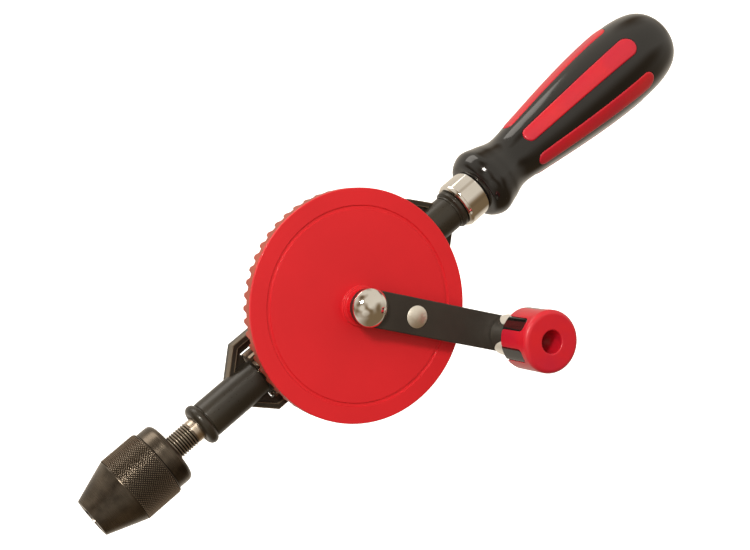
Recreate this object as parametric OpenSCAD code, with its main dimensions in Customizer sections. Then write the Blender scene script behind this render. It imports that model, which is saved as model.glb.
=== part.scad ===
// Hand drill: a crank turns a crown wheel, two pinions carry the wheel, and the front pinion turns
// the spindle and its three-jaw chuck. Millimetres.
// +X runs along the drill axis from the chuck to the handle, the wheel is on the -Y side, +Z is up.
// The origin is the mouth of the chuck's jaws, on the drill axis.
// A "station" is a distance along the drill axis from the wheel's axle, towards the handle.
// A "height" is a distance from the drill axis along the wheel's axle, towards the crank.

/* [Overall] */
// Distance from the jaws' mouth to the wheel's axle
nose_to_axle = 123.2; // [121:0.1:126]
// Radius of the frame's tube
tube_r = 7.3; // [7.2:0.1:7.8]

/* [Chuck] */
// Radius of the knurled sleeve
sleeve_r = 13.5; // [13.3:0.1:14.5]
// Radius of the sleeve's nose
nose_r = 7.85; // [7.8:0.05:8.4]
// Length of the cone nose
cone_len = 14.4; // [14:0.1:15.5]
// Length of the knurled band
knurl_len = 15.7; // [14.5:0.1:16]
// Radius of the smooth rear collar
collar_r = 12.4; // [12:0.1:13]
// Length of the rear collar
collar_len = 6.6; // [6:0.1:7]
// Radius of the largest bit that the open jaws take
bit_r = 4; // [3.8:0.1:4.2]

/* [Spindle] */
// Radius of the plain spindle
spindle_r = 4.5; // [4.2:0.1:4.6]
// Outer radius of the chuck's thread on the spindle
thread_r = 4.76; // [4.7:0.01:4.8]
// Pitch of that thread
thread_pitch = 1.06; // [1:0.02:1.3]

/* [Wheel and gears] */
// Outer radius of the wheel
wheel_r = 44.7; // [44.3:0.1:45.5]
// Number of crown teeth on the wheel
wheel_teeth = 57; // [55:1:59]
// Number of teeth on each pinion
pinion_teeth = 13; // [12:1:14]
// Radial length of the crown teeth
crown_face = 6; // [5.6:0.1:6.4]
// Backlash, taken from the thickness of every tooth
backlash = 0.5; // [0.5:0.05:0.6]
// Angle of the first crown tooth from the drill axis, with the crank at rest
first_tooth = 4; // [0:0.5:6]
// Height of the wheel's front face
face_height = 16.2; // [15:0.1:16.5]

/* [Frame loop] */
// Half-width of the loop, across the drill axis
loop_half_width = 15.7; // [15.5:0.1:17]
// Half-length of the loop's straight sides
loop_half_length = 46; // [45:0.5:48]
// How far the loop's middle lies behind the wheel's axle
loop_shift = 1; // [0:0.1:1.5]
// Thickness of the loop's rim
rim_t = 2.2; // [1.8:0.1:2.6]

/* [Crank] */
// Distance from the wheel's axle to the knob's pin
crank_len = 61.5; // [60:0.5:66]
// Angle of the crank from the drill axis at rest
crank_angle = -48.6; // [-60:0.1:-40]
// Width of the crank arm
arm_w = 14.2; // [13:0.1:14.5]
// Thickness of the crank arm
arm_t = 3; // [2.5:0.1:3.4]
// Radius of the knob
knob_r = 12; // [11.5:0.1:13]

/* [Handle] */
// Station of the handle's butt end
butt_station = 190; // [189:0.5:194]
// Number of inlaid strips round the handle, and of black inserts round the knob
strip_count = 6; // [4:1:6]
// Angle of the first strip, from the wheel's side of the handle
strip_angle = 28; // [0:1:59]

/* [Hidden] */
$fn = 96;

// Clearance of a running fit, and the gap between faces that pass each other
run = 0.05;
face_gap = 0.1;
// How far a cutting shape runs past the face it cuts
past = 1;

// Gear geometry: the crown wheel is treated as a rack at the middle of its teeth
crown_out_r = wheel_r - 0.2;
crown_in_r = crown_out_r - crown_face;
crown_mid_r = (crown_out_r + crown_in_r) / 2;
tooth_pitch = 2 * PI * crown_mid_r / wheel_teeth;
pitch_r = pinion_teeth * tooth_pitch / (2 * PI);
pressure_angle = 20;
base_r = pitch_r * cos(pressure_angle);
tooth_t = tooth_pitch / 2 - backlash / 2;
addendum = 0.85;
dedendum = 1.35;
// The gaps of the crown are deeper than the pinion's teeth need
crown_depth = 2.6;
crown_root = pitch_r + crown_depth;
crown_tip = pitch_r - addendum;
pinion_face = crown_face - 1.4;
gear_ratio = wheel_teeth / pinion_teeth;

// Stations of the two windows that hold the pinions
window_in = 29;
window_out = 44.3;
washer_t = 1.05;
hub_in = window_in + washer_t + face_gap;

// Stations along the front of the frame
tube_front = 73.6;
bead_station = 71.8;
bead_wire_r = 2.1;
bush_r = 5.8;
bush_front = 73.3;
spindle_end = 10.3;

// Stations of the chuck, counted from its mouth
sleeve_len = cone_len + knurl_len;
collar_front = sleeve_len + face_gap;
collar_rear = collar_front + collar_len;
cone_slope = (sleeve_r - 0.2 - nose_r) / cone_len;
mouth_r = 6;
sleeve_bore_r = mouth_r + cone_slope * cone_len;
jaw_len = 15.1;
slot_floor = jaw_len + face_gap;
slot_rim = 12.2;
jaw_half_width = 5;
jaw_half_arc = 18;
// Distance from the plane midway between two open jaws to the face of either
jaw_face_offset = bit_r * sin(60 - jaw_half_arc);
spring_x = 9.6;
spring_r = 1;
spring_path = 6;
thread_hole_front = 22;

// Heights of the stack on the wheel's axle
stud_r = 3.5;
boss_height = 7.6;
boss_r = 8.5;
hub_back = 8.6;
hub_r = 7.7;
arm_height = 21;
cap_height = arm_height + arm_t + face_gap;
cap_r = 7.4;
rivet_reach = 20.2;

// Heights of the knob
knob_foot = arm_height + arm_t + face_gap;
knob_base = 38.2;
insert_end = 51.6;
knob_face = 55;
ferrule_r = 8.1;
knob_hole_r = 4.4;
knob_bore_r = 2.5;
// Wall of the red sleeve that lines the knob's hole
knob_lining = 1.6;
pin_seat = 41;

// Stations of the handle
flange_front = 59.8;
flange_rear = 62.3;
ferrule_front = 62.4;
ferrule_rear = 72.9;
grip_ferrule_r = 9.8;
spigot_r = 9;
tang_r = 4;
tang_front = 54.2;
tang_rear = 118;
inlay_depth = 1.2;
inlay_proud = 0.15;

// Station and radius of points on the outline of the handle, joined by a smooth curve
grip_outline = [
    [ferrule_rear + 0.05, spigot_r], [74.2, 12.6], [78.9, 14.8], [85, 13.4], [93.5, 11.2],
    [106, 12.5], [125, 14.9], [144, 16.8], [161, 17.6], [174, 16.9], [183, 14.3],
    [butt_station - 2.1, 9], [butt_station, 0]
];

// A point at fraction t of the smooth curve from p1 to p2, with neighbours p0 and p3
function curve_point(p0, p1, p2, p3, t) =
    0.5 * (2 * p1 + (p2 - p0) * t + (2 * p0 - 5 * p1 + 4 * p2 - p3) * t * t
        + (3 * p1 - p0 - 3 * p2 + p3) * t * t * t);

// The smooth curve through all points, which meets the axis squarely at its last point
function smooth_curve(points, steps) =
    let (last = len(points) - 1,
         mirrored = [points[last - 1][0], -points[last - 1][1]],
         before = 2 * points[0] - points[1])
    concat(
        [for (i = [0:last - 1], k = [0:steps - 1])
            curve_point(i == 0 ? before : points[i - 1], points[i], points[i + 1],
                        i == last - 1 ? mirrored : points[i + 2], k / steps)],
        [points[last]]);

// Points of an arc about a centre
function arc(centre, r, from, to, steps = 8) =
    [for (k = [0:steps]) let (t = from + (to - from) * k / steps) centre + r * [cos(t), sin(t)]];

// The involute of an angle, in degrees
function involute(angle) = tan(angle) * 180 / PI - angle;

// Half the angle that a pinion tooth spans at radius r
function tooth_half_angle(r) =
    let (mid = tooth_t / 2 / pitch_r * 180 / PI + involute(pressure_angle),
         at_r = r > base_r ? involute(acos(base_r / r)) : 0)
    mid - at_r;

// Children's Z axis runs along the drill axis, starting at a station
module at_station(s) {
    translate([nose_to_axle + s, 0, 0])
        rotate([0, 90, 0])
            children();
}

// Children's Z axis runs along the drill axis, starting at a distance from the jaws' mouth
module at_mouth(x) {
    translate([x, 0, 0])
        rotate([0, 90, 0])
            children();
}

// Children's X is along the drill axis, Y is up and Z runs out along the wheel's axle
module at_height(h) {
    translate([nose_to_axle, -h, 0])
        rotate([90, 0, 0])
            children();
}

// Children stand on the crank's centre line, at a distance from the wheel's axle
module on_crank(reach, h) {
    at_height(h)
        rotate([0, 0, crank_angle])
            translate([reach, 0, 0])
                children();
}

// A ring or disc that turns outline points [radius, height] about Z
module lathe(points) {
    rotate_extrude()
        polygon(points);
}

module tube(r_out, r_in, h) {
    difference() {
        cylinder(h = h, r = r_out);
        translate([0, 0, -past])
            cylinder(h = h + 2 * past, r = r_in);
    }
}

// A rivet head or cap: a low dome on a flat base
module dome(r, h, skirt) {
    sphere_r = (r * r + h * h) / (2 * h);
    edge = asin(r / sphere_r);
    lathe(concat([[0, 0], [r, 0]],
                 arc([0, skirt + h - sphere_r], sphere_r, 90 - edge, 90, 12)));
}

/* ---- frame ---- */

module loop_outline(inset) {
    w = loop_half_width - inset;
    // Half-length of the straight side, moved in with the 45 degree flanks
    l = loop_half_length - inset * tan(22.5);
    // The flanks end inside the tube
    half_end = tube_r - 1;
    end = l + w - half_end;
    translate([loop_shift, 0])
        polygon([[-end, half_end], [-l, w], [l, w], [end, half_end],
                 [end, -half_end], [l, -w], [-l, -w], [-end, -half_end]]);
}

module frame_body() {
    rim_front = 0.5;
    rim_back = -5;
    web_front = -1;
    web_back = -3.5;
    boss_back = -7.5;
    at_height(rim_back)
        linear_extrude(rim_front - rim_back)
            difference() {
                loop_outline(0);
                loop_outline(rim_t);
            }
    at_height(web_back)
        linear_extrude(web_front - web_back)
            loop_outline(rim_t / 2);
    at_height(boss_back)
        cylinder(h = boss_height - boss_back, r = boss_r);
    at_station(-tube_front)
        cylinder(h = tube_front + flange_rear, r = tube_r);
    at_station(-bead_station)
        rotate_extrude()
            translate([tube_r - 1, 0])
                circle(r = bead_wire_r);
    at_station(flange_front)
        lathe([[0, 0], [tube_r + 0.2, 0], [tube_r + 1, 0.7], [tube_r + 1, 2], [tube_r + 0.5, 2.5],
               [0, 2.5]]);
}

module frame_windows() {
    window_half = 10.8;
    for (side = [-1, 1])
        translate([nose_to_axle + side * (window_in + window_out) / 2, 0, 0])
            cube([window_out - window_in, 40, 2 * window_half], center = true);
}

module frame() color([0.13, 0.12, 0.11])
    difference() {
        frame_body();
        frame_windows();
        // The tube's two decorative grooves
        for (groove = [-70.3, 58.2])
            at_station(groove)
                tube(tube_r + 3, tube_r - 0.35, 0.7);
        // Front bush, rear bush, idler axle, handle tang and wheel axle
        at_station(-tube_front - past)
            cylinder(h = tube_front + past - window_out, r = bush_r);
        at_station(-window_in - past)
            cylinder(h = window_in + past - spindle_end, r = bush_r);
        at_station(spindle_end)
            cylinder(h = tang_front - spindle_end, r = stud_r);
        at_station(tang_front)
            cylinder(h = flange_rear - tang_front + past, r = tang_r);
        at_height(-4)
            cylinder(h = boss_height + 4 + past, r = stud_r);
    }

module front_bush() color([0.65, 0.5, 0.28])
    at_station(-bush_front)
        tube(bush_r, spindle_r + run, bush_front - window_out - 0.1);

module rear_bush() color([0.65, 0.5, 0.28])
    at_station(-window_in + 0.1)
        tube(bush_r, spindle_r + run, window_in - spindle_end - 0.1);

/* ---- spindle and its pinion ---- */

pin_station = -34;
pin_r = 1;
pinion_hub_r = 6.8;

module spindle() color([0.72, 0.68, 0.62])
    difference() {
        thread_end = 76.9;
        thread_front = nose_to_axle - thread_hole_front - 1;
        root_r = thread_r - 0.6;
        turns = floor((thread_front - thread_end) / thread_pitch);
        length = thread_front - spindle_end - 0.2;
        plain = thread_front - thread_end;
        at_station(-thread_front)
            lathe(concat(
                [[0, 0]],
                [for (k = [0:turns - 1]) for (p = [[root_r, 0], [thread_r, 0.5]])
                    [p[0], (k + p[1]) * thread_pitch]],
                [[root_r, turns * thread_pitch], [root_r, plain], [spindle_r, plain + 0.4],
                 [spindle_r, length - 0.5], [spindle_r - 0.5, length], [0, length]]));
        pinion_pin_shape();
    }

module pinion_pin_shape() {
    half = pinion_hub_r - 0.2;
    at_station(pin_station)
        translate([-half, 0, 0])
            rotate([0, 90, 0])
                cylinder(h = 2 * half, r = pin_r, $fn = 48);
}

module pinion_pin() color([0.6, 0.6, 0.6])
    pinion_pin_shape();

// One pinion's teeth about Z, with a gap centred on the angle gap_at
module pinion_profile(gap_at) {
    step = 360 / pinion_teeth;
    root_r = pitch_r - dedendum;
    tip_r = pitch_r + addendum;
    flank = [root_r, base_r, base_r + 0.25 * (tip_r - base_r), base_r + 0.5 * (tip_r - base_r),
             base_r + 0.75 * (tip_r - base_r), tip_r];
    last = len(flank) - 1;
    polygon([for (i = [0:pinion_teeth - 1])
        let (middle = gap_at + (i + 0.5) * step)
        for (k = [0:2 * last + 1])
            let (rising = k <= last,
                 r = rising ? flank[k] : flank[2 * last + 1 - k],
                 a = middle + (rising ? -1 : 1) * tooth_half_angle(r))
            [r * cos(a), r * sin(a)]]);
}

// Angle between the drill axis and the crown tooth nearest to it, on one side of the wheel
function nearest_tooth(side_angle) =
    let (step = 360 / wheel_teeth, steps = (side_angle - first_tooth) / step)
    first_tooth + round(steps) * step - side_angle;

// A pinion seen along +X, its gap turned to meet the crown tooth nearest to the drill axis.
// side is -1 for the front pinion and 1 for the rear one.
module pinion(side, bore_r) {
    offset_angle = nearest_tooth(side < 0 ? 180 : 0) * side;
    gap_at = -90 - offset_angle * gear_ratio;
    teeth_from = crown_mid_r - pinion_face / 2;
    start = side < 0 ? -crown_mid_r - pinion_face / 2 : teeth_from;
    hub_start = side < 0 ? -teeth_from - 0.01 : hub_in;
    difference() {
        union() {
            at_station(start)
                linear_extrude(pinion_face)
                    pinion_profile(gap_at);
            at_station(hub_start)
                cylinder(h = teeth_from + 0.01 - hub_in, r = pinion_hub_r);
        }
        at_station(side < 0 ? -window_out : window_in)
            cylinder(h = window_out - window_in, r = bore_r);
    }
}

module drive_pinion() color([0.7, 0.68, 0.64])
    difference() {
        pinion(-1, spindle_r);
        pinion_pin_shape();
    }

module idler_pinion() color([0.7, 0.68, 0.64])
    pinion(1, stud_r + run);

module thrust_washer() color([0.6, 0.6, 0.6])
    at_station(-window_in - washer_t)
        tube(pinion_hub_r + 0.2, spindle_r + run, washer_t);

module idler_washer() color([0.6, 0.6, 0.6])
    at_station(window_in)
        tube(pinion_hub_r + 0.2, stud_r + run, washer_t);

module idler_axle() color([0.6, 0.6, 0.6])
    at_station(spindle_end)
        cylinder(h = tang_front - 0.2 - spindle_end, r = stud_r);

/* ---- wheel and crank ---- */

module wheel_axle() color([0.6, 0.6, 0.6])
    at_height(-4) {
        cylinder(h = cap_height + 4, r = stud_r);
        // Reduced end that the cap screws on
        cylinder(h = cap_height + 4 + 2.6, r = stud_r - 0.8);
    }

module wheel_washer() color([0.6, 0.6, 0.6])
    at_height(boss_height)
        tube(boss_r - 0.5, stud_r + run, hub_back - boss_height - face_gap);

module axle_cap() color([0.8, 0.8, 0.8])
    difference() {
        at_height(cap_height)
            dome(cap_r, 4, 0.7);
        at_height(cap_height - past)
            cylinder(h = 2.6 + past, r = stud_r - 0.8);
    }

// Section of a crown tooth: X across the tooth, Y along the wheel's axle
module crown_tooth_section() {
    slope = tan(pressure_angle);
    half_root = tooth_t / 2 + slope * crown_depth;
    half_tip = tooth_t / 2 - slope * addendum;
    round_off = 0.45;
    polygon([[-half_root, crown_root + 0.3], [-half_root, crown_root],
             [-half_tip - slope * round_off, crown_tip + round_off],
             [-half_tip + round_off * 0.6, crown_tip], [half_tip - round_off * 0.6, crown_tip],
             [half_tip + slope * round_off, crown_tip + round_off],
             [half_root, crown_root], [half_root, crown_root + 0.3]]);
}

module wheel_disc() {
    edge_r = 1;
    web_back = 13;
    ring_line_r = 37.4;
    at_height(0)
        lathe(concat(
            [[0, hub_back], [hub_r, hub_back], [hub_r, web_back], [crown_in_r - 1, web_back],
             [crown_in_r - 0.5, crown_root], [wheel_r - 0.1, crown_root],
             [wheel_r, crown_root + 0.2]],
            arc([wheel_r - edge_r, face_height - edge_r], edge_r, 0, 90),
            // Shallow groove round the face
            [[ring_line_r + 0.75, face_height], [ring_line_r + 0.5, face_height - 0.5],
             [ring_line_r - 0.5, face_height - 0.5], [ring_line_r - 0.75, face_height]],
            // Fillet at the foot of the raised hub
            arc([hub_r + 0.4, face_height + 0.4], 0.4, 270, 180, 3),
            arc([hub_r - 0.6, face_height + 0.5], 0.6, 0, 90, 4),
            [[6.8, face_height + 1.1], [6.5, face_height + 1.6], [6.5, arm_height - face_gap],
             [0, arm_height - face_gap]]));
    // Pillar that the arm is riveted to
    on_crank(rivet_reach, face_height - 1)
        cylinder(h = arm_height - face_gap - face_height + 1, r = 5);
}

module gear_wheel() color([0.82, 0.1, 0.14])
    difference() {
        union() {
            wheel_disc();
            for (i = [0:wheel_teeth - 1])
                at_height(0)
                    rotate([0, 0, first_tooth + i * 360 / wheel_teeth])
                        translate([crown_in_r, 0, 0])
                            rotate([90, 0, 90])
                                linear_extrude(crown_face)
                                    crown_tooth_section();
        }
        at_height(0)
            cylinder(h = arm_height + past, r = stud_r + run);
        on_crank(rivet_reach, 13)
            cylinder(h = arm_height, r = 2);
    }

module crank_arm() color([0.12, 0.12, 0.12])
    difference() {
        union() {
            on_crank(0, arm_height)
                translate([0, -arm_w / 2, 0])
                    cube([crank_len, arm_w, arm_t]);
            for (reach = [0, crank_len])
                on_crank(reach, arm_height)
                    cylinder(h = arm_t, r = arm_w / 2);
        }
        on_crank(0, 0)
            cylinder(h = 2 * arm_height, r = stud_r + run);
        on_crank(rivet_reach, 0)
            cylinder(h = 2 * arm_height, r = 2);
        on_crank(crank_len, 0)
            cylinder(h = 2 * arm_height, r = knob_bore_r);
    }

module arm_rivet() color([0.75, 0.74, 0.72]) {
    on_crank(rivet_reach, arm_height + arm_t)
        dome(4.3, 1.1, 0.3);
    on_crank(rivet_reach, 13)
        cylinder(h = arm_height + arm_t - 13 + 0.2, r = 2);
}

/* ---- knob ---- */

module knob_pin() color([0.7, 0.7, 0.7]) {
    on_crank(crank_len, arm_height)
        rotate([180, 0, 0])
            dome(3.8, 1, 0.3);
    on_crank(crank_len, arm_height - 0.5)
        cylinder(h = pin_seat + 0.5 + face_gap - arm_height, r = knob_bore_r);
    on_crank(crank_len, pin_seat + face_gap)
        dome(4, 1, 0.6);
}

module knob_ferrule() color([0.8, 0.8, 0.8])
    on_crank(crank_len, knob_foot)
        lathe(concat(
            [[ferrule_r - 0.8, 0], [ferrule_r - 0.5, 0]],
            arc([ferrule_r - 0.5, 0.5], 0.5, -90, 0, 4),
            [[ferrule_r, knob_base - knob_foot - face_gap],
             [ferrule_r - 0.8, knob_base - knob_foot - face_gap]]));

// The part of a ring that lies within half_angle of each of the six places, turned by from
module ring_sectors(r_in, r_out, h, half_angle, from) {
    far = 2 * r_out;
    intersection() {
        tube(r_out, r_in, h);
        for (i = [0:strip_count - 1])
            rotate([0, 0, from + i * 360 / strip_count])
                linear_extrude(h)
                    polygon([[0, 0], [far, -far * tan(half_angle)], [far, far * tan(half_angle)]]);
    }
}

insert_half_angle = 14;
insert_angle = 110 - crank_angle;
inner_knob_r = knob_r - 1.6;

module knob_core() color([0.1, 0.1, 0.1])
    difference() {
        union() {
            on_crank(crank_len, knob_foot)
                cylinder(h = insert_end - knob_foot, r = ferrule_r - 0.8);
            on_crank(crank_len, knob_base)
                cylinder(h = insert_end - knob_base, r = inner_knob_r);
            on_crank(crank_len, knob_base)
                ring_sectors(inner_knob_r - 1, knob_r - 0.15, insert_end - knob_base,
                             insert_half_angle, insert_angle);
        }
        on_crank(crank_len, 0)
            cylinder(h = knob_face + past, r = knob_bore_r + run);
        on_crank(crank_len, pin_seat)
            cylinder(h = knob_face, r = knob_hole_r + knob_lining);
    }

module knob_shell() color([0.82, 0.08, 0.16]) {
    tongue_half_angle = 180 / strip_count - insert_half_angle;
    corner_r = 2;
    h = knob_face - insert_end;
    on_crank(crank_len, pin_seat)
        tube(knob_hole_r + knob_lining, knob_hole_r, insert_end - pin_seat + 0.01);
    on_crank(crank_len, knob_base)
        ring_sectors(inner_knob_r, knob_r, insert_end - knob_base + 0.01, tongue_half_angle,
                     insert_angle + 180 / strip_count);
    on_crank(crank_len, insert_end)
        lathe(concat(
            [[knob_hole_r, 0], [knob_r, 0]],
            arc([knob_r - corner_r, h - corner_r], corner_r, 0, 90),
            [[knob_hole_r + 0.6, h], [knob_hole_r, h - 0.6]]));
}

/* ---- handle ---- */

module handle_tang() color([0.6, 0.6, 0.6])
    at_station(tang_front)
        cylinder(h = tang_rear - tang_front, r = tang_r);

module handle_ferrule() color([0.8, 0.8, 0.8]) {
    h = ferrule_rear - ferrule_front;
    lip = 0.5;
    at_station(ferrule_front)
        lathe([[tang_r + run, 0], [grip_ferrule_r - 2 * lip, 0], [grip_ferrule_r - lip, lip],
               [grip_ferrule_r, 2.5 * lip], [grip_ferrule_r, h - lip], [grip_ferrule_r - lip, h],
               [spigot_r, h], [spigot_r, 1], [tang_r + run, 1]]);
}

// The handle's outline turned about its axis, drawn in by inset
module grip_solid(inset) {
    curve = smooth_curve(grip_outline, 4);
    start = grip_outline[0][0];
    at_station(start)
        lathe(concat(
            [[0, 0]],
            [for (p = curve) if (p[1] > inset) [p[1] - inset, p[0] - start]],
            [[0, curve[len(curve) - 1][0] - inset - start]]));
}

// Outline of a strip on the handle with round ends, extruded outward from near the axis
module strip_blocks() {
    front = 104;
    rear = 161.7;
    front_r = 3.3;
    rear_r = 4.5;
    reach = 20;
    for (i = [0:strip_count - 1])
        translate([nose_to_axle, 0, 0])
            rotate([90 + strip_angle + i * 360 / strip_count, 0, 0])
                linear_extrude(reach)
                    polygon(concat(arc([front, 0], front_r, 90, 270, 6),
                                   arc([rear, 0], rear_r, -90, 90, 6)));
}

module handle_grip() color([0.06, 0.06, 0.06])
    difference() {
        union() {
            grip_solid(0);
            at_station(ferrule_front + 1 + face_gap)
                cylinder(h = ferrule_rear - ferrule_front - 1, r = spigot_r - 0.01);
        }
        difference() {
            strip_blocks();
            grip_solid(inlay_depth);
        }
        at_station(ferrule_front)
            cylinder(h = tang_rear - ferrule_front, r = tang_r);
    }

module handle_inlays() color([0.8, 0.1, 0.14])
    difference() {
        intersection() {
            strip_blocks();
            grip_solid(-inlay_proud);
        }
        grip_solid(inlay_depth);
    }

/* ---- chuck ---- */

module chuck_body() color([0.2, 0.18, 0.16])
    difference() {
        union() {
            at_mouth(slot_rim)
                cylinder(h = collar_front - slot_rim, r = mouth_r + cone_slope * slot_rim - 0.15);
            at_mouth(cone_len + 0.5)
                cylinder(h = collar_front - cone_len, r = sleeve_bore_r - run);
            at_mouth(collar_front)
                lathe(concat(
                    [[0, 0], [collar_r - 0.3, 0], [collar_r, 0.3]],
                    arc([collar_r - 2.2, collar_len - 2.2], 2.2, 0, 90),
                    [[0, collar_len]]));
        }
        // Radial slots that guide the jaws
        for (i = [0:2])
            rotate([jaw_angle(i), 0, 0])
                translate([slot_rim - past, -jaw_half_width - run, 0])
                    cube([slot_floor - slot_rim + past, 2 * (jaw_half_width + run), sleeve_r]);
        at_mouth(slot_rim - past)
            cylinder(h = slot_floor - slot_rim + past, r = jaw_half_width / sin(60));
        // Room for the bit's tail, then the thread for the spindle
        at_mouth(slot_rim)
            cylinder(h = thread_hole_front - slot_rim, r = bit_r + 0.2);
        at_mouth(thread_hole_front)
            cylinder(h = collar_rear, r = thread_r + 0.02);
    }

module chuck_sleeve() color([0.16, 0.14, 0.13])
    at_mouth(0)
        lathe([[mouth_r, 0], [nose_r, 0], [sleeve_r - 0.2, cone_len], [sleeve_r, cone_len + 0.4],
               [sleeve_r, sleeve_len - 0.4], [sleeve_r - 0.4, sleeve_len],
               [sleeve_bore_r, sleeve_len], [sleeve_bore_r, cone_len]]);

// Jaws point up and down the slopes of a Y: the first one points up
function jaw_angle(i) = i * 120;

// One open jaw, pointing up from the axis
module jaw() {
    apex = jaw_face_offset / sin(60);
    shoulder = apex + jaw_half_width / tan(60);
    difference() {
        intersection() {
            at_mouth(0)
                lathe([[0, 0], [mouth_r - run, 0], [mouth_r + cone_slope * slot_rim - run, slot_rim],
                       [mouth_r + cone_slope * slot_rim - run, jaw_len], [0, jaw_len]]);
            rotate([90, 0, 90])
                linear_extrude(jaw_len)
                    polygon([[0, apex], [jaw_half_width, shoulder], [jaw_half_width, sleeve_r],
                             [-jaw_half_width, sleeve_r], [-jaw_half_width, shoulder]]);
        }
        at_mouth(-past)
            cylinder(h = jaw_len + 2 * past, r = bit_r);
    }
}

module jaw_number(i) color([0.55, 0.53, 0.5])
    rotate([jaw_angle(i), 0, 0])
        jaw();

module jaw_1() jaw_number(0);
module jaw_2() jaw_number(1);
module jaw_3() jaw_number(2);

// A spring lies across the gap between two jaws
module jaw_springs() color([0.7, 0.7, 0.7])
    for (i = [0:2])
        rotate([jaw_angle(i) + 60, 0, 0])
            translate([spring_x, -jaw_face_offset + run, spring_path])
                rotate([-90, 0, 0])
                    tube(spring_r, spring_r - 0.35, 2 * (jaw_face_offset - run), $fn = 32);

frame();
front_bush();
rear_bush();
spindle();
drive_pinion();
pinion_pin();
thrust_washer();
idler_pinion();
idler_washer();
idler_axle();
wheel_axle();
wheel_washer();
gear_wheel();
axle_cap();
crank_arm();
arm_rivet();
knob_pin();
knob_ferrule();
knob_core();
knob_shell();
handle_tang();
handle_ferrule();
handle_grip();
handle_inlays();
chuck_body();
chuck_sleeve();
jaw_1();
jaw_2();
jaw_3();
jaw_springs();
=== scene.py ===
"""Looks of a hand drill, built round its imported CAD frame.

Lengths are millimetres in this script, and place matrices turn them into metres. A profile is a
list of corners (radius, height, corner radius) that is turned about an axis. A station is a
distance along the drill axis from the wheel's axle, and a height is a distance from the drill axis
along the wheel's axle, towards the crank.
"""

import math

import bmesh
import bpy
from mathutils import Matrix, Vector


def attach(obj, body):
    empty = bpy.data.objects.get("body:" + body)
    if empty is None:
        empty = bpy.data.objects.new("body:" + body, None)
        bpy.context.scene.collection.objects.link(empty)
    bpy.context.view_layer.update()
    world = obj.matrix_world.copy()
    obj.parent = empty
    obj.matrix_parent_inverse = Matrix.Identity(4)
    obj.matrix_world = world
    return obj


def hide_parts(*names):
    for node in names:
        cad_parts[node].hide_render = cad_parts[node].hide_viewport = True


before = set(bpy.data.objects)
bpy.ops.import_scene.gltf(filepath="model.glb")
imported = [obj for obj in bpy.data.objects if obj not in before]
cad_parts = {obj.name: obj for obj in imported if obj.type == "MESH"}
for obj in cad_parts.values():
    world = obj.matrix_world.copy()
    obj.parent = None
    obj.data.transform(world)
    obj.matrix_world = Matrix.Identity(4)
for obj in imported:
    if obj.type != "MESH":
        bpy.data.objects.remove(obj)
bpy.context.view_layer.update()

MM = 0.001
NOSE_TO_AXLE = 123.2
CRANK_ANGLE = math.radians(-48.6)
CRANK_LEN = 61.5
STRIP_COUNT = 6


# ---- places ----


def place(axis_x, axis_y, axis_z, origin):
    """Matrix from a local frame in millimetres to the object's frame in metres."""
    turn = Matrix((axis_x, axis_y, axis_z)).transposed().to_4x4()
    return Matrix.Scale(MM, 4) @ Matrix.Translation(origin) @ turn


# Local Z runs along the drill axis, from the jaws' mouth
DRILL = place((0, 1, 0), (0, 0, 1), (1, 0, 0), (0, 0, 0))
# The same, with local Z counted from the wheel's axle
STATION = place((0, 1, 0), (0, 0, 1), (1, 0, 0), (NOSE_TO_AXLE, 0, 0))
# Local X along the drill axis, Y up and Z out along the wheel's axle
WHEEL = place((1, 0, 0), (0, 0, 1), (0, -1, 0), (NOSE_TO_AXLE, 0, 0))
# The object's own directions, counted from the wheel's axle
AXLE = place((1, 0, 0), (0, 1, 0), (0, 0, 1), (NOSE_TO_AXLE, 0, 0))
# Turns a local frame so that its Z points along the old X, its X along Y and its Y along Z
ACROSS = Matrix(((0, 0, 1, 0), (1, 0, 0, 0), (0, 1, 0, 0), (0, 0, 0, 1)))


def on_crank(reach):
    """The wheel's frame moved along the crank's centre line."""
    return WHEEL @ Matrix.Rotation(CRANK_ANGLE, 4, "Z") @ Matrix.Translation((reach, 0, 0))


# ---- shapes: each one returns a shell, a pair of points and faces ----


def arc(centre, radius, start, end, steps):
    """Points of an arc, with angles in degrees."""
    angles = [math.radians(start + (end - start) * k / steps) for k in range(steps + 1)]
    return [(centre[0] + radius * math.cos(a), centre[1] + radius * math.sin(a)) for a in angles]


def rounded(corners, steps=5):
    """Closed outline through corners (x, y) or (x, y, radius), rounded where a radius is given."""
    points = []
    for i, corner in enumerate(corners):
        here = Vector(corner[:2])
        radius = corner[2] if len(corner) > 2 else 0
        if radius == 0:
            points.append(tuple(here))
            continue
        before = (Vector(corners[i - 1][:2]) - here).normalized()
        after = (Vector(corners[(i + 1) % len(corners)][:2]) - here).normalized()
        half = before.angle(after) / 2
        centre = here + (before + after).normalized() * (radius / math.sin(half))
        first = here + before * (radius / math.tan(half)) - centre
        last = here + after * (radius / math.tan(half)) - centre
        start = math.atan2(first.y, first.x)
        sweep = math.atan2(last.y, last.x) - start
        sweep = (sweep + math.pi) % (2 * math.pi) - math.pi
        points += arc(centre, radius, math.degrees(start), math.degrees(start + sweep), steps)
    return points


def lathe(profile, where, steps=144):
    """A closed profile turned about local Z."""
    points, faces, rings = [], [], []
    for radius, height in profile:
        first = len(points)
        if radius < 1e-4:
            points.append(where @ Vector((0, 0, height)))
            rings.append([first] * steps)
            continue
        rings.append(list(range(first, first + steps)))
        for k in range(steps):
            angle = 2 * math.pi * k / steps
            points.append(
                where @ Vector((radius * math.cos(angle), radius * math.sin(angle), height))
            )
    for ring, following in zip(rings, rings[1:] + rings[:1]):
        for k in range(steps):
            n = (k + 1) % steps
            corners = list(dict.fromkeys((ring[k], ring[n], following[n], following[k])))
            if len(corners) > 2:
                faces.append(corners)
    return points, faces


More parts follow.
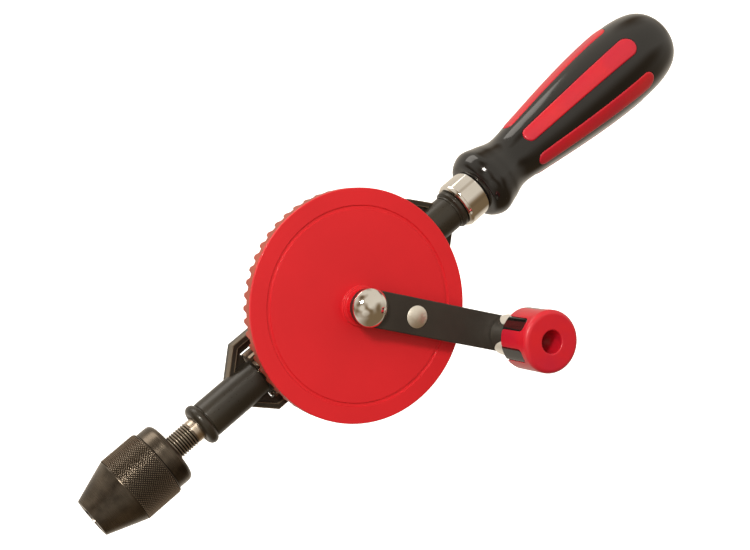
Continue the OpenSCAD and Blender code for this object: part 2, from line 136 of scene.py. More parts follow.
def plate(loops, low, high, where, edge=0.25, segments=3):
    """A flat plate with rounded rims: the first loop is its outline, the others are holes."""
    bm = bmesh.new()
    rim = []
    for loop in loops:
        corners = [bm.verts.new((x, y, low)) for x, y in loop]
        rim += [bm.edges.new(pair) for pair in zip(corners, corners[1:] + corners[:1])]
    bmesh.ops.triangle_fill(bm, use_beauty=True, use_dissolve=False, edges=rim)
    if edge:
        bmesh.ops.dissolve_limit(bm, angle_limit=0.01, verts=bm.verts[:], edges=bm.edges[:])
    made = bmesh.ops.extrude_face_region(bm, geom=bm.faces[:])
    lifted = [v for v in made["geom"] if isinstance(v, bmesh.types.BMVert)]
    bmesh.ops.translate(bm, vec=(0, 0, high - low), verts=lifted)
    bmesh.ops.recalc_face_normals(bm, faces=bm.faces[:])
    if edge:
        sharp = [
            e
            for e in bm.edges
            if abs(e.verts[0].co.z - e.verts[1].co.z) < 1e-6 and e.calc_face_angle(0) > 0.5
        ]
        bmesh.ops.bevel(
            bm, geom=sharp, offset=edge, segments=segments, profile=0.5, affect="EDGES"
        )
    bm.verts.index_update()
    shell = [where @ v.co for v in bm.verts], [[v.index for v in f.verts] for f in bm.faces]
    bm.free()
    return shell


def skin(rings, mirror=None):
    """A skin over rings of equally many points.

    If mirror is given, point i of the last ring faces point mirror - i, and strips join them.
    """
    count = len(rings[0])
    points = [p for ring in rings for p in ring]
    faces = []
    for r in range(len(rings) - 1):
        for k in range(count):
            n = (k + 1) % count
            faces.append([r * count + k, r * count + n, (r + 1) * count + n, (r + 1) * count + k])
    if mirror is not None:
        last = (len(rings) - 1) * count
        start = (mirror + 1) // 2
        for i in range(start, start + count // 2):
            facing = (i, i + 1, mirror - 1 - i, mirror - i)
            corners = list(dict.fromkeys(last + j % count for j in facing))
            if len(corners) > 2:
                faces.append(corners)
    return points, faces


# ---- pieces ----


def new_object(name, shells, material):
    """One mesh object made of shells, with their faces turned outwards."""
    points, faces = [], []
    for shell_points, shell_faces in shells:
        first = len(points)
        points += shell_points
        faces += [[first + i for i in face] for face in shell_faces]
    mesh = bpy.data.meshes.new(name)
    mesh.from_pydata(points, [], faces)
    bm = bmesh.new()
    bm.from_mesh(mesh)
    bmesh.ops.recalc_face_normals(bm, faces=bm.faces[:])
    bm.to_mesh(mesh)
    bm.free()
    mesh.materials.append(material)
    made = bpy.data.objects.new(name, mesh)
    bpy.context.scene.collection.objects.link(made)
    return made


def cut(made, shells):
    """Takes shells out of an object."""
    cutter = new_object("cutter", shells, made.data.materials[0])
    boolean = made.modifiers.new("cut", "BOOLEAN")
    boolean.operation = "DIFFERENCE"
    boolean.solver = "EXACT"
    boolean.object = cutter
    mesh = bpy.data.meshes.new_from_object(
        made.evaluated_get(bpy.context.evaluated_depsgraph_get())
    )
    made.modifiers.clear()
    made.data = mesh
    bpy.data.objects.remove(cutter)


def finish_piece(made, body, nodes, sharp=38):
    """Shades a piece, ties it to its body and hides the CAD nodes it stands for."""
    made.data.shade_smooth()
    made.data.set_sharp_from_angle(angle=math.radians(sharp))
    weighted = made.modifiers.new("normals", "WEIGHTED_NORMAL")
    weighted.keep_sharp = True
    weighted.weight = 100
    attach(made, body)
    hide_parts(*nodes)
    return made


def piece(name, shells, body, nodes, slot):
    """A finished piece made of shells, with its slot's material."""
    return finish_piece(new_object(name, shells, MATERIALS[slot]), body, nodes)


# ---- materials ----


def surface(
    name,
    colour,
    shade=None,
    metallic=0.0,
    roughness=0.4,
    spread=0.08,
    patch=60.0,
    grain=900.0,
    bump=0.05,
    stretch=(1, 1, 1),
    coat=0.0,
    coat_roughness=0.08,
):
    """A finish whose colour and roughness drift over patches and whose fine grain is a bump.

    patch and grain are noise scales per metre, and stretch squeezes the grain along each axis.
    """
    made = bpy.data.materials.new(name)
    made.use_nodes = True
    nodes, links = made.node_tree.nodes, made.node_tree.links
    shader = nodes["Principled BSDF"]
    shader.inputs["Metallic"].default_value = metallic
    shader.inputs["Coat Weight"].default_value = coat
    shader.inputs["Coat Roughness"].default_value = coat_roughness
    where = nodes.new("ShaderNodeTexCoord")

    drift = nodes.new("ShaderNodeTexNoise")
    drift.inputs["Scale"].default_value = patch
    drift.inputs["Detail"].default_value = 4
    links.new(where.outputs["Object"], drift.inputs["Vector"])
    mix = nodes.new("ShaderNodeMix")
    mix.data_type = "RGBA"
    mix.inputs["A"].default_value = (*colour, 1)
    mix.inputs["B"].default_value = (*(shade or [c * 0.8 for c in colour]), 1)
    band = nodes.new("ShaderNodeMapRange")
    band.inputs["From Min"].default_value = 0.35
    band.inputs["From Max"].default_value = 0.7
    links.new(drift.outputs["Fac"], band.inputs["Value"])
    links.new(band.outputs["Result"], mix.inputs["Factor"])
    links.new(mix.outputs["Result"], shader.inputs["Base Color"])

    fine = nodes.new("ShaderNodeTexNoise")
    fine.inputs["Scale"].default_value = grain
    fine.inputs["Detail"].default_value = 3
    squeeze = nodes.new("ShaderNodeMapping")
    squeeze.inputs["Scale"].default_value = stretch
    links.new(where.outputs["Object"], squeeze.inputs["Vector"])
    links.new(squeeze.outputs["Vector"], fine.inputs["Vector"])
    rough = nodes.new("ShaderNodeMapRange")
    rough.inputs["To Min"].default_value = max(roughness - spread, 0.02)
    rough.inputs["To Max"].default_value = roughness + spread
    links.new(fine.outputs["Fac"], rough.inputs["Value"])
    links.new(rough.outputs["Result"], shader.inputs["Roughness"])
    relief = nodes.new("ShaderNodeBump")
    relief.inputs["Strength"].default_value = bump
    relief.inputs["Distance"].default_value = 0.0002
    links.new(fine.outputs["Fac"], relief.inputs["Height"])
    links.new(relief.outputs["Normal"], shader.inputs["Normal"])
    return made


def shade_hollows_by_radius(made, dark_to, bright_from):
    """Makes a finish's drift follow the distance from the drill axis, in millimetres.

    Hollows get the dark colour as painted shade, and crests keep the plain colour.
    """
    nodes, links = made.node_tree.nodes, made.node_tree.links
    where = nodes.new("ShaderNodeTexCoord")
    flat = nodes.new("ShaderNodeVectorMath")
    flat.operation = "MULTIPLY"
    flat.inputs[1].default_value = (0, 1, 1)
    length = nodes.new("ShaderNodeVectorMath")
    length.operation = "LENGTH"
    band = nodes.new("ShaderNodeMapRange")
    band.inputs["From Min"].default_value = bright_from * MM
    band.inputs["From Max"].default_value = dark_to * MM
    links.new(where.outputs["Object"], flat.inputs[0])
    links.new(flat.outputs["Vector"], length.inputs[0])
    links.new(length.outputs["Value"], band.inputs["Value"])
    mix = next(n for n in nodes if n.bl_idname == "ShaderNodeMix")
    links.new(band.outputs["Result"], mix.inputs["Factor"])
    return made


# Marks of turning run round the drill axis, so their grain is squeezed along X
TURNED_ALONG_X = (3, 0.15, 0.15)
TURNED_ALONG_Y = (0.15, 3, 0.15)

# The thread's roots are coloured near black as painted shade between the crests
THREAD = shade_hollows_by_radius(surface(
    "thread_steel", (0.5, 0.44, 0.37), (0.03, 0.025, 0.02), metallic=1, roughness=0.36,
    grain=500, bump=0.05), 4.2, 4.62)
# A tan colour put on the frame loop's edges as a painted reflection of the pale paper
EDGE_REFLECTION_TINT = surface(
    "edge_reflection_tint", (0.2, 0.155, 0.105), (0.1, 0.078, 0.055), metallic=0.4, roughness=0.4,
    patch=60, spread=0.1, grain=900, bump=0.08)
# An orange-brown for the wheel's teeth and outer wall: a painted reflection of the pale floor on
# the teeth, and painted shade that keeps the outer wall dark
RIM_REFLECTION_AND_SHADE = surface(
    "rim_reflection_and_shade", (0.55, 0.09, 0.05), (0.3, 0.06, 0.035), metallic=0.2, roughness=0.42,
    patch=90, spread=0.1, grain=900, bump=0.05)
# The knurl's hollows are coloured near black as painted shade, so the crests stand out
KNURL = shade_hollows_by_radius(surface(
    "knurl_oxide", (0.34, 0.28, 0.22), (0.03, 0.025, 0.02), metallic=0.9, roughness=0.36,
    spread=0.02, grain=700, bump=0), 13.15, 13.46)

MATERIALS = {
    "frame_paint": surface(
        "frame_paint", (0.03, 0.025, 0.017), (0.017, 0.014, 0.01), roughness=0.3,
        spread=0.07, patch=45, grain=1400, bump=0.12,
    ),
    "bronze": surface(
        "bronze", (0.5, 0.34, 0.16), (0.36, 0.23, 0.1), metallic=1, roughness=0.38,
        grain=600, bump=0.08, stretch=TURNED_ALONG_X,
    ),
    "spindle_steel": surface(
        "spindle_steel", (0.62, 0.54, 0.45), (0.45, 0.37, 0.29), metallic=1, roughness=0.3,
        spread=0.1, patch=160, grain=500, bump=0.12, stretch=TURNED_ALONG_X,
    ),
    "gear_steel": surface(
        "gear_steel", (0.3, 0.235, 0.18), (0.14, 0.1, 0.075), metallic=1, roughness=0.42,
        spread=0.1, patch=220, grain=700, bump=0.08,
    ),
    "bright_steel": surface(
        "bright_steel", (0.7, 0.68, 0.65), (0.52, 0.5, 0.47), metallic=1, roughness=0.26,
        grain=700, bump=0.06, stretch=TURNED_ALONG_Y,
    ),
    "wheel_paint": surface(
        "wheel_paint", (0.75, 0.009, 0.019), (0.68, 0.007, 0.016), roughness=0.5, spread=0.04,
        patch=25, grain=900, bump=0.03, coat=0.3, coat_roughness=0.12,
    ),
    "chrome": surface(
        "chrome", (0.86, 0.84, 0.8), (0.8, 0.77, 0.72), metallic=1, roughness=0.07,
        spread=0.03, patch=70, grain=300, bump=0.015,
    ),
    "arm_paint": surface(
        "arm_paint", (0.034, 0.029, 0.024), (0.024, 0.02, 0.017), roughness=0.42, spread=0.06,
        patch=60, grain=1200, bump=0.1,
    ),
    "rivet_nickel": surface(
        "rivet_nickel", (0.95, 0.91, 0.84), (0.84, 0.8, 0.73), metallic=1, roughness=0.42,
        patch=200, grain=900, bump=0.08,
    ),
    "black_plastic": surface(
        "black_plastic", (0.01, 0.0095, 0.009), (0.007, 0.0065, 0.006), roughness=0.13,
        spread=0.03, patch=50, grain=260, bump=0.008, coat=0.3, coat_roughness=0.04,
    ),
    "red_plastic": surface(
        "red_plastic", (0.69, 0.011, 0.023), (0.56, 0.008, 0.036), roughness=0.38, spread=0.04,
        patch=60, grain=300, bump=0.01, coat=0.2, coat_roughness=0.08,
    ),
    "black_oxide": surface(
        "black_oxide", (0.14, 0.116, 0.09), (0.045, 0.037, 0.029), metallic=0.9, roughness=0.27,
        spread=0.08, patch=120, grain=700, bump=0.08, stretch=TURNED_ALONG_X,
    ),
    "jaw_steel": surface(
        "jaw_steel", (0.5, 0.46, 0.42), (0.34, 0.31, 0.28), metallic=1, roughness=0.34,
        patch=180, grain=900, bump=0.08,
    ),
    "spring_steel": surface(
        "spring_steel", (0.62, 0.6, 0.57), (0.5, 0.48, 0.45), metallic=1, roughness=0.25,
        patch=200, grain=800, bump=0.04,
    ),
}

for node_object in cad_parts.values():
    for index, old in enumerate(node_object.data.materials):
        node_object.data.materials[index] = MATERIALS[old.name.split(".")[0]]


# ---- frame ----

TUBE_R = 7.3
WINDOW_IN = 29
WINDOW_OUT = 44.3
WINDOW_HALF = 10.8
# The cast loop: half its width and length, and how far its middle lies behind the axle
LOOP_HALF_WIDTH = 15.7
LOOP_HALF_LENGTH = 46
LOOP_SHIFT = 1
# Heights of the loop's back and front, and of the web inside it
LOOP_BACK, LOOP_FRONT = -5, 0.5
WEB_BACK, WEB_FRONT = -3.5, -1


def loop_outline(inset):
    """Outline of the cast loop, with 45 degree flanks that end inside the tube."""
    width = LOOP_HALF_WIDTH - inset
    length = LOOP_HALF_LENGTH - inset * math.tan(math.radians(22.5))
    half_end = TUBE_R - 1
    end = length + width - half_end
    half = [(end, half_end), (length, width), (-length, width), (-end, half_end)]
    return [(LOOP_SHIFT + x, y) for x, y in half + [(x, -y) for x, y in half[::-1]]]


def box_outline(x0, x1, half):
    """Outline of a window between two stations."""
    return [(x0, -half), (x1, -half), (x1, half), (x0, half)]


def make_frame():
    groove = 0.35
    shells = [
        lathe(rounded([
            (5.8, -73.6), (TUBE_R - groove, -73.6), (TUBE_R - groove, -69.6),
            (TUBE_R, -69.6, 0.4), (TUBE_R, -WINDOW_OUT, 0.35), (5.8, -WINDOW_OUT)]), STATION),
        lathe(arc((TUBE_R - 1, -71.8), 2.1, 0, 345, 23), STATION),
        lathe(rounded([(5.8, -WINDOW_IN), (TUBE_R, -WINDOW_IN, 0.35),
                       (TUBE_R, WINDOW_IN, 0.35), (3.5, WINDOW_IN)]), STATION),
        lathe(rounded([
            (3.5, WINDOW_OUT), (TUBE_R, WINDOW_OUT, 0.35), (TUBE_R, 58.2, 0.15),
            (TUBE_R - groove, 58.2), (TUBE_R - groove, 58.9), (TUBE_R, 58.9, 0.15),
            (TUBE_R, 59.8), (TUBE_R + 0.2, 59.8), (TUBE_R + 1, 60.5, 0.4), (TUBE_R + 1, 61.8, 0.4),
            (TUBE_R + 0.5, 62.3), (4, 62.3)]), STATION),
        plate([loop_outline(0.02), loop_outline(2.18)], LOOP_BACK, LOOP_FRONT - 0.03, WHEEL,
              edge=0.2),
        plate([loop_outline(1.1), box_outline(-WINDOW_OUT, -WINDOW_IN, WINDOW_HALF),
               box_outline(WINDOW_IN, WINDOW_OUT, WINDOW_HALF)], WEB_BACK, WEB_FRONT, WHEEL,
              edge=0.2),
        lathe(rounded([(0, -7.5), (8.5, -7.5, 0.8), (8.5, 7.6, 0.4), (3.5, 7.6), (3.5, 0),
                       (0, 0)]),
              WHEEL),
    ]
    piece("frame_body", shells, "drill_frame", ["frame"], "frame_paint")
    # The loop's edges, outside and inside, get a tan colour as a painted reflection of the pale
    # paper
    edges = [
        plate([loop_outline(0), loop_outline(0.5)], LOOP_FRONT - 3.5, LOOP_FRONT, WHEEL,
              edge=0.15),
        plate([loop_outline(1.85), loop_outline(2.2)], LOOP_FRONT - 2.5, LOOP_FRONT, WHEEL,
              edge=0.1),
    ]
    finish_piece(new_object("frame_edges", edges, EDGE_REFLECTION_TINT), "drill_frame", ["frame"])


# ---- spindle ----


def thread_shell(front, turns, pitch, root, crest, steps=72, rows=10):
    """A helical thread along the drill axis, counted from the jaws' mouth."""
    rings = []
    total = turns * rows
    for row in range(total + 1):
        ring = []
        for k in range(steps):
            phase = (row / rows - k / steps) % 1
            radius = root + (crest - root) * min(1.0, (1 - abs(2 * phase - 1)) * 1.2)
            angle = 2 * math.pi * k / steps
            ring.append(DRILL @ Vector((radius * math.cos(angle), radius * math.sin(angle),
                                        front + row * pitch / rows)))
        rings.append(ring)
    return skin(rings)


def make_spindle():
    front = 23
    thread_rear = NOSE_TO_AXLE - 76.9
    rear = NOSE_TO_AXLE - 10.5
    spindle_r = 4.5
    thread_root = 4.1
    shells = [
        lathe(rounded([(0, front), (thread_root, front), (thread_root, thread_rear),
                       (spindle_r, thread_rear + 0.5, 0.2), (spindle_r, rear, 0.3),
                       (0, rear)]), DRILL, 96),
    ]
    piece("spindle_turned", shells, "spindle_train", ["spindle"], "spindle_steel")
    helix = thread_shell(front + 1, turns=21, pitch=1.06, root=thread_root, crest=4.76)
    thread = new_object("spindle_thread", [helix], THREAD)
    finish_piece(thread, "spindle_train", ["spindle"], sharp=60)


# ---- wheel and crank ----

WHEEL_R = 44.7
WHEEL_TEETH = 57
FIRST_TOOTH = math.radians(4)
# Heights of the wheel's face, of its hub's end and of the arm's two faces
FACE = 16.2
ARM_FOOT = 20.9
ARM_LOW, ARM_HIGH = 21, 24
RIVET_REACH = 20.2


def make_wheel():
    crown_root = 12.07
    crown_tip = 8.62
    profile = rounded([
        (3.6, 8.6), (7.7, 8.6, 0.5), (7.7, 13, 0.8), (38, 13), (38, 14), (44, 14),
        (44, 15.2), (WHEEL_R, 15.2, 0.1), (WHEEL_R, FACE, 0.4),
        (38.15, FACE, 0.13), (37.9, FACE - 0.5, 0.15), (36.9, FACE - 0.5, 0.15),
        (36.65, FACE, 0.13), (7.7, FACE, 0.3), (7.7, FACE + 1.1, 0.3), (6.7, FACE + 1.1, 0.3),
        (6.5, ARM_FOOT), (3.6, ARM_FOOT)])
    shells = [
        lathe(profile, WHEEL, 256),
        lathe(rounded([(0, FACE - 1), (5.6, FACE - 1), (5, FACE + 0.4, 0.5), (5, ARM_FOOT),
                       (0, ARM_FOOT)]), on_crank(RIVET_REACH), 64),
    ]
    tooth = rounded([
        (-1.97, crown_root + 0.4), (-1.97, crown_root, 0.1), (-0.72, crown_tip, 0.6),
        (0.72, crown_tip, 0.6), (1.97, crown_root, 0.1), (1.97, crown_root + 0.4)])
    piece("wheel_disc", shells, "crank", ["gear_wheel"], "wheel_paint")
    # The teeth and the outer wall take the orange-brown of painted reflection and painted shade in
    # place of the red
    teeth = [lathe(rounded([
        (38.05, 14), (37.5, 13), (38, crown_root, 0.3), (44.5, crown_root, 0.2),
        (WHEEL_R, 12.4, 0.2), (WHEEL_R, 15.1, 0.2), (44, 15.1), (44, 14)]), WHEEL, 256)]
    for i in range(WHEEL_TEETH):
        turn = Matrix.Rotation(FIRST_TOOTH + i * 2 * math.pi / WHEEL_TEETH, 4, "Z")
        teeth.append(plate([tooth], 38.5, 44.5, WHEEL @ turn @ ACROSS, edge=0.4))
    finish_piece(new_object("wheel_teeth", teeth, RIM_REFLECTION_AND_SHADE), "crank", ["gear_wheel"])


def dome(radius, rise, skirt, base):
    """Profile of a low dome on a short skirt."""
    sphere = (radius * radius + rise * rise) / (2 * rise)
    edge = math.degrees(math.asin(radius / sphere))
    top = arc((0, base + skirt + rise - sphere), sphere, 90 - edge, 90, 24)
    top[-1] = (0, base + skirt + rise)
    return [(0, base), (radius - 0.25, base), (radius, base + 0.2)] + top


def make_crank():
    arm_half = 7.1
    outline = arc((0, 0), arm_half, 90, 270, 32) + arc((CRANK_LEN, 0), arm_half, -90, 90, 32)
    piece("arm_bar", [plate([outline], ARM_LOW, ARM_HIGH, on_crank(0), edge=0.45)], "crank",
          ["crank_arm"], "arm_paint")
    piece("cap_dome", [lathe(dome(7.4, 4, 0.7, ARM_HIGH + 0.1), WHEEL)], "drill_frame",
          ["axle_cap"], "chrome")
    rivet_top = ARM_HIGH + 0.2
    piece("rivet_head", [lathe(dome(4.3, 1.1, 0.3, ARM_HIGH), on_crank(RIVET_REACH), 96),
                         lathe([(0, 13), (2, 13), (2, rivet_top), (0, rivet_top)],
                               on_crank(RIVET_REACH), 48)],
          "crank", ["arm_rivet"], "rivet_nickel")
    knob_place = on_crank(CRANK_LEN)
    flip = Matrix.Translation((0, 0, 2 * ARM_LOW)) @ Matrix.Rotation(math.pi, 4, "X")
    piece("pin_heads", [lathe(dome(3.8, 1, 0.3, ARM_LOW), knob_place @ flip, 96),
                        lathe(dome(4, 1, 0.6, 41.1), knob_place, 96),
                        lathe([(0, 20.5), (2.5, 20.5), (2.5, 41.3), (0, 41.3)], knob_place, 64)],
          "crank", ["knob_pin"], "bright_steel")


# ---- knob ----

KNOB_R = 12
BORE_R = 4.4
BORE_FLOOR = 41
KNOB_BASE = 38.2
INSERT_END = 51.6
KNOB_FACE = 55
INSERT_HALF = 2.9
INSERT_CORNER = 1.9


def insert_outline(shrink):
    """Outline of a black insert: X across it and Y out along the knob's axis."""
    half = INSERT_HALF - shrink
    end = INSERT_END - shrink
    corner = max(INSERT_CORNER - shrink, 0.02)
    return rounded([(-half, KNOB_BASE), (half, KNOB_BASE), (half, end, corner),
                    (-half, end, corner)])


def insert_window():
    """The hole in the red shell round an insert, which flares past the rounded tongue corners."""
    flare = 1.3
    foot = KNOB_BASE + flare
    half = INSERT_HALF
    right = arc((half + flare, foot), flare, 270, 180, 6)
    left = arc((-half - flare, foot), flare, 0, -90, 6)
    far = rounded([(0, KNOB_BASE), (half, KNOB_BASE), (half, INSERT_END, INSERT_CORNER),
                   (-half, INSERT_END, INSERT_CORNER), (-half, KNOB_BASE)], 8)[2:-1]
    return ([(-half - flare, KNOB_BASE - 1), (half + flare, KNOB_BASE - 1)] + right + far + left)


def on_knob_side(turn):
    """Local X across an insert, Y along the knob's axis and Z out from the axis."""
    return on_crank(CRANK_LEN) @ Matrix.Rotation(turn, 4, "Z") @ ACROSS


def make_knob():
    where = on_crank(CRANK_LEN)
    turns = [math.radians(110) - CRANK_ANGLE + i * math.pi / 3 for i in range(STRIP_COUNT)]
    piece("ferrule_knob", [lathe(rounded([
        (7.3, 24.1), (8.1, 24.1, 0.4), (8.1, 38.1, 0.2), (7.3, 38.1)]), where)],
        "knob", ["knob_ferrule"], "chrome")

    shell = new_object("knob_red", [lathe(rounded([
        (10.4, KNOB_BASE), (KNOB_R, KNOB_BASE, 0.4), (KNOB_R, KNOB_FACE, 1.9),
        (BORE_R, KNOB_FACE, 0.6), (BORE_R, BORE_FLOOR), (6, BORE_FLOOR), (6, INSERT_END),
        (10.4, INSERT_END)], 8), where, 192)], MATERIALS["red_plastic"])
    cut(shell, [plate([insert_window()], 9, 14, on_knob_side(t), edge=0) for t in turns])
    finish_piece(shell, "knob", ["knob_shell"])

    core = [
        lathe(rounded([(2.6, 24.2), (7.2, 24.2), (7.2, KNOB_BASE), (10.35, KNOB_BASE, 0.3),
                       (10.35, INSERT_END), (6.05, INSERT_END), (6.05, BORE_FLOOR),
                       (2.6, BORE_FLOOR)]), where, 96)]
    for turn in turns:
        side = on_knob_side(turn)
        rings = []
        for inset, height in ((0.05, 9.5), (0.05, 11.55), (0.14, 11.75), (0.35, 11.86),
                              (0.9, 11.86), (1.6, 11.86), (2.3, 11.86)):
            rings.append([
                side @ Vector((x, y, math.sqrt(height * height - x * x)))
                for x, y in insert_outline(inset)])
        core.append(skin(rings, mirror=1))
    piece("knob_black", core, "knob", ["knob_core"], "black_plastic")


# ---- handle ----

# Station and radius
GRIP_OUTLINE = [
    (72.95, 9), (74.2, 12.6), (78.9, 14.8), (85, 13.4), (93.5, 11.2), (106, 12.5), (125, 14.9),
    (144, 16.8), (161, 17.6), (174, 16.9), (183, 14.3), (187.9, 9), (190, 0)]


def smooth_curve(points, steps):
    """A smooth curve through all points, which meets the axis squarely at its last point."""
    ends = [
        (2 * points[0][0] - points[1][0], 2 * points[0][1] - points[1][1]),
        (points[-2][0], -points[-2][1]),
    ]
    padded = [Vector(p) for p in [ends[0], *points, ends[1]]]
    curve = []
    for p0, p1, p2, p3 in zip(padded, padded[1:], padded[2:], padded[3:]):
        for k in range(steps):
            t = k / steps
            curve.append(0.5 * (2 * p1 + (p2 - p0) * t + (2 * p0 - 5 * p1 + 4 * p2 - p3) * t * t
                                + (3 * p1 - p0 - 3 * p2 + p3) * t * t * t))
    return curve + [padded[-2]]


GRIP_CURVE = smooth_curve(GRIP_OUTLINE, 14)


def grip_radius(station):
    """Radius of the handle at a station."""
    for a, b in zip(GRIP_CURVE, GRIP_CURVE[1:]):
        if a.x <= station <= b.x:
            return a.y + (b.y - a.y) * (station - a.x) / (b.x - a.x)
    return 0.0


def strip_outline(shrink):
    """Outline of an inlaid strip: X along the handle and Y across the strip."""
    front, rear = 104, 161.7
    front_r, rear_r = 3.3 - shrink, 4.5 - shrink
    side = [k / 40 for k in range(1, 40)]
    upper = [(front + (rear - front) * t, front_r + (rear_r - front_r) * t) for t in side]
    return (arc((front, 0), front_r, 90, 270, 14) + [(x, -y) for x, y in upper]
            + arc((rear, 0), rear_r, -90, 90, 14) + upper[::-1])


def on_strip(index):
    """Local X along the handle, Y across strip number index and Z out from the axis."""
    first = 118
    turn = Matrix.Rotation(math.radians(first + index * 360 / STRIP_COUNT), 4, "X")
    return AXLE @ turn


def make_handle():
    piece("ferrule_grip", [lathe(rounded([
        (4.1, 62.4), (8.8, 62.4), (9.25, 62.8, 0.2), (9.8, 63.8, 0.8), (9.8, 72.9, 0.5),
        (9, 72.9), (9, 63.4), (4.1, 63.4)], 6), STATION, 192)], "drill_frame",
        ["handle_ferrule"], "chrome")
    outline = [(p.y, p.x) for p in GRIP_CURVE]
    outline[-1] = (0, outline[-1][1])
    grip = new_object("grip_body", [lathe([(0, 72.95)] + outline, STATION, 240)],
                      MATERIALS["black_plastic"])
    cut(grip, [plate([strip_outline(0)], 8.5, 22, on_strip(i), edge=0)
               for i in range(STRIP_COUNT)])
    finish_piece(grip, "drill_frame", ["handle_grip"])
    shells = []
    for i in range(STRIP_COUNT):
        side = on_strip(i)
        rings = []
        for inset, rise in ((0.12, -1.2), (0.12, -0.25), (0.2, 0), (0.36, 0.16), (0.6, 0.25),
                            (1.0, 0.28), (1.8, 0.28), (2.4, 0.28), (3.0, 0.28)):
            ring = []
            for x, y in strip_outline(inset):
                radius = grip_radius(x) + rise
                ring.append(side @ Vector((x, y, math.sqrt(radius * radius - y * y))))
            rings.append(ring)
        shells.append(skin(rings, mirror=14))
    piece("grip_inlays", shells, "drill_frame", ["handle_inlays"], "red_plastic")


# ---- chuck ----


def knurl_shell(front, rows, pitch, count, top, depth):
    """Diamond knurling along the drill axis: a flat-topped pyramid, open below, for each."""
    points, faces = [], []
    base = top - depth
    for row in range(2 * rows - 1):
        for column in range(count):
            angle = 2 * math.pi * (column + 0.5 * (row % 2)) / count
            middle = front + pitch * (row + 1) / 2
            first = len(points)
            for size, radius in ((1.0, base), (0.3, top)):
                half_angle = size * math.pi / count
                half_pitch = size * pitch / 2
                for da, dx in ((half_angle, 0), (0, half_pitch), (-half_angle, 0),
                               (0, -half_pitch)):
                    points.append(DRILL @ Vector((radius * math.cos(angle + da),
                                                  radius * math.sin(angle + da), middle + dx)))
            for k in range(4):
                n = (k + 1) % 4
                faces.append([first + k, first + n, first + 4 + n, first + 4 + k])
            faces.append([first + 4, first + 5, first + 6, first + 7])
    return points, faces


def make_sleeve():
    cone = 14.4
    rear = 30.1
    shells = [
        lathe(rounded([
            (6, 0, 0.15), (7.85, 0, 0.35), (13.2, cone, 0.15), (13.25, cone + 0.4, 0.1),
            (13.1, cone + 0.5), (13.1, rear - 0.5), (13.35, rear - 0.4, 0.1), (13.1, rear, 0.15),
            (11.3, rear), (11.3, cone)]), DRILL, 192)]
    piece("sleeve_turned", shells, "sleeve", ["chuck_sleeve"], "black_oxide")
    diamonds = knurl_shell(cone + 0.35, rows=14, pitch=1.07, count=80, top=13.5, depth=0.45)
    knurl = new_object("sleeve_knurl", [diamonds], KNURL)
    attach(knurl, "sleeve")
    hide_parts("chuck_sleeve")


make_frame()
make_spindle()
make_wheel()
make_crank()
make_knob()
make_handle()
make_sleeve()


# ---- stage, lights and camera ----


def stage_material(name, colour, glow):
    """A plain matt paper that glows a little."""
    made = bpy.data.materials.new(name)
    made.use_nodes = True
    shader = made.node_tree.nodes["Principled BSDF"]
    shader.inputs["Base Color"].default_value = (*colour, 1)
    shader.inputs["Roughness"].default_value = 0.9
    shader.inputs["Specular IOR Level"].default_value = 0.0
    shader.inputs["Emission Color"].default_value = (1, 1, 1, 1)
    shader.inputs["Emission Strength"].default_value = glow
    return made


def make_stage():
    """A pale floor under the whole travel of the crank, which runs out to a far round wall."""
    floor_height = -80
    far = 60000
    shell = lathe(rounded([(0, floor_height), (far, floor_height), (far, 12000),
                           (far + 10, 12000), (far + 10, floor_height - 10),
                           (0, floor_height - 10)]),
                  AXLE, 96)
    floor = new_object("floor", [shell], stage_material("floor_paper", (0.85, 0.85, 0.85), 0.85))
    floor.visible_glossy = False
    floor.visible_diffuse = False


# Directions of the picture in the object's frame: right, up and back towards the camera
RIGHT = Vector((0.7166, -0.4505, -0.5326))
UP = Vector((0.6150, 0.0478, 0.7871))
BACK = Vector((-0.3291, -0.8915, 0.3113))
CENTRE = Vector((0.14, -0.01, 0))


def soft_light(name, direction, distance, size, power, colour, mirrored=True):
    """A soft light that faces the object from a direction, and shows in its shine or doesn't."""
    data = bpy.data.lights.new(name, "AREA")
    data.shape = "RECTANGLE"
    data.size, data.size_y = size
    data.energy = power
    data.color = colour
    light = bpy.data.objects.new(name, data)
    direction = direction.normalized()
    light.location = CENTRE + direction * distance
    light.rotation_mode = "QUATERNION"
    light.rotation_quaternion = direction.to_track_quat("Z", "Y")
    light.visible_glossy = mirrored
    bpy.context.scene.collection.objects.link(light)
    return light


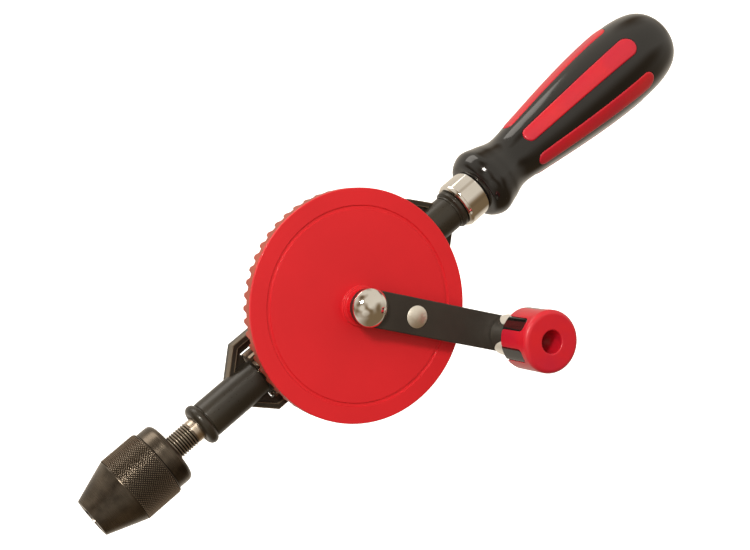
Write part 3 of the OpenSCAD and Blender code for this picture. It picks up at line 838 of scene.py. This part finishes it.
def make_lights():
    soft_light("key", UP * 0.52 - RIGHT * 0.36 + BACK * 1.1, 0.9, (0.18, 0.12), 4.3,
               (1, 0.95, 0.86))
    soft_light("fill", BACK + UP * 0.1, 1.4, (1.6, 1.2), 4.35, (1, 0.94, 0.87), False)
    soft_light("top", Vector((0.1, 0.3, 1)), 1.1, (0.8, 0.5), 3, (1, 0.95, 0.88))
    world = bpy.data.worlds.new("studio")
    world.use_nodes = True
    nodes, links = world.node_tree.nodes, world.node_tree.links
    sky = nodes["Background"]
    where = nodes.new("ShaderNodeTexCoord")
    room = nodes.new("ShaderNodeTexNoise")
    room.inputs["Scale"].default_value = 1
    room.inputs["Detail"].default_value = 1
    links.new(where.outputs["Generated"], room.inputs["Vector"])
    ramp = nodes.new("ShaderNodeValToRGB")
    links.new(room.outputs["Fac"], ramp.inputs["Fac"])
    first, last = ramp.color_ramp.elements
    first.position, first.color = 0.3, (0.03, 0.022, 0.016, 1)
    last.position, last.color = 0.5, (1, 0.91, 0.78, 1)
    middle = ramp.color_ramp.elements.new(0.38)
    middle.color = (0.34, 0.24, 0.15, 1)
    # The room is darker below on the right, and the paper behind the drill glows, so that
    # glancing outlines mirror it
    tone = ramp.outputs["Color"]
    for towards, start, full, colour in (
            (RIGHT * 0.6 - UP * 0.8, 0.25, 0.85, (0.26, 0.18, 0.1, 1)),
            (-BACK, 0.4, 0.85, (1.1, 0.98, 0.82, 1))):
        facing = nodes.new("ShaderNodeVectorMath")
        facing.operation = "DOT_PRODUCT"
        facing.inputs[1].default_value = towards
        links.new(where.outputs["Generated"], facing.inputs[0])
        share = nodes.new("ShaderNodeMapRange")
        share.inputs["From Min"].default_value = start
        share.inputs["From Max"].default_value = full
        links.new(facing.outputs["Value"], share.inputs["Value"])
        blend = nodes.new("ShaderNodeMix")
        blend.data_type = "RGBA"
        blend.inputs["B"].default_value = colour
        links.new(share.outputs["Result"], blend.inputs["Factor"])
        links.new(tone, blend.inputs["A"])
        tone = blend.outputs["Result"]
    links.new(tone, sky.inputs["Color"])
    sky.inputs["Strength"].default_value = 0.74
    bpy.context.scene.world = world


def make_camera():
    """The camera, in metres, at the place and with the lens that show the object as wanted."""
    data = bpy.data.cameras.new("camera")
    data.sensor_width = 36
    data.lens = 61.31
    data.clip_start, data.clip_end = 0.01, 200
    camera = bpy.data.objects.new("camera", data)
    turn = Matrix((RIGHT, UP, BACK)).transposed()
    camera.rotation_mode = "QUATERNION"
    camera.rotation_quaternion = turn.to_quaternion()
    camera.location = (-0.0242, -0.4472, 0.1563)
    bpy.context.scene.collection.objects.link(camera)
    bpy.context.scene.camera = camera


make_stage()
make_lights()
make_camera()
bpy.context.scene.view_settings.view_transform = "Standard"
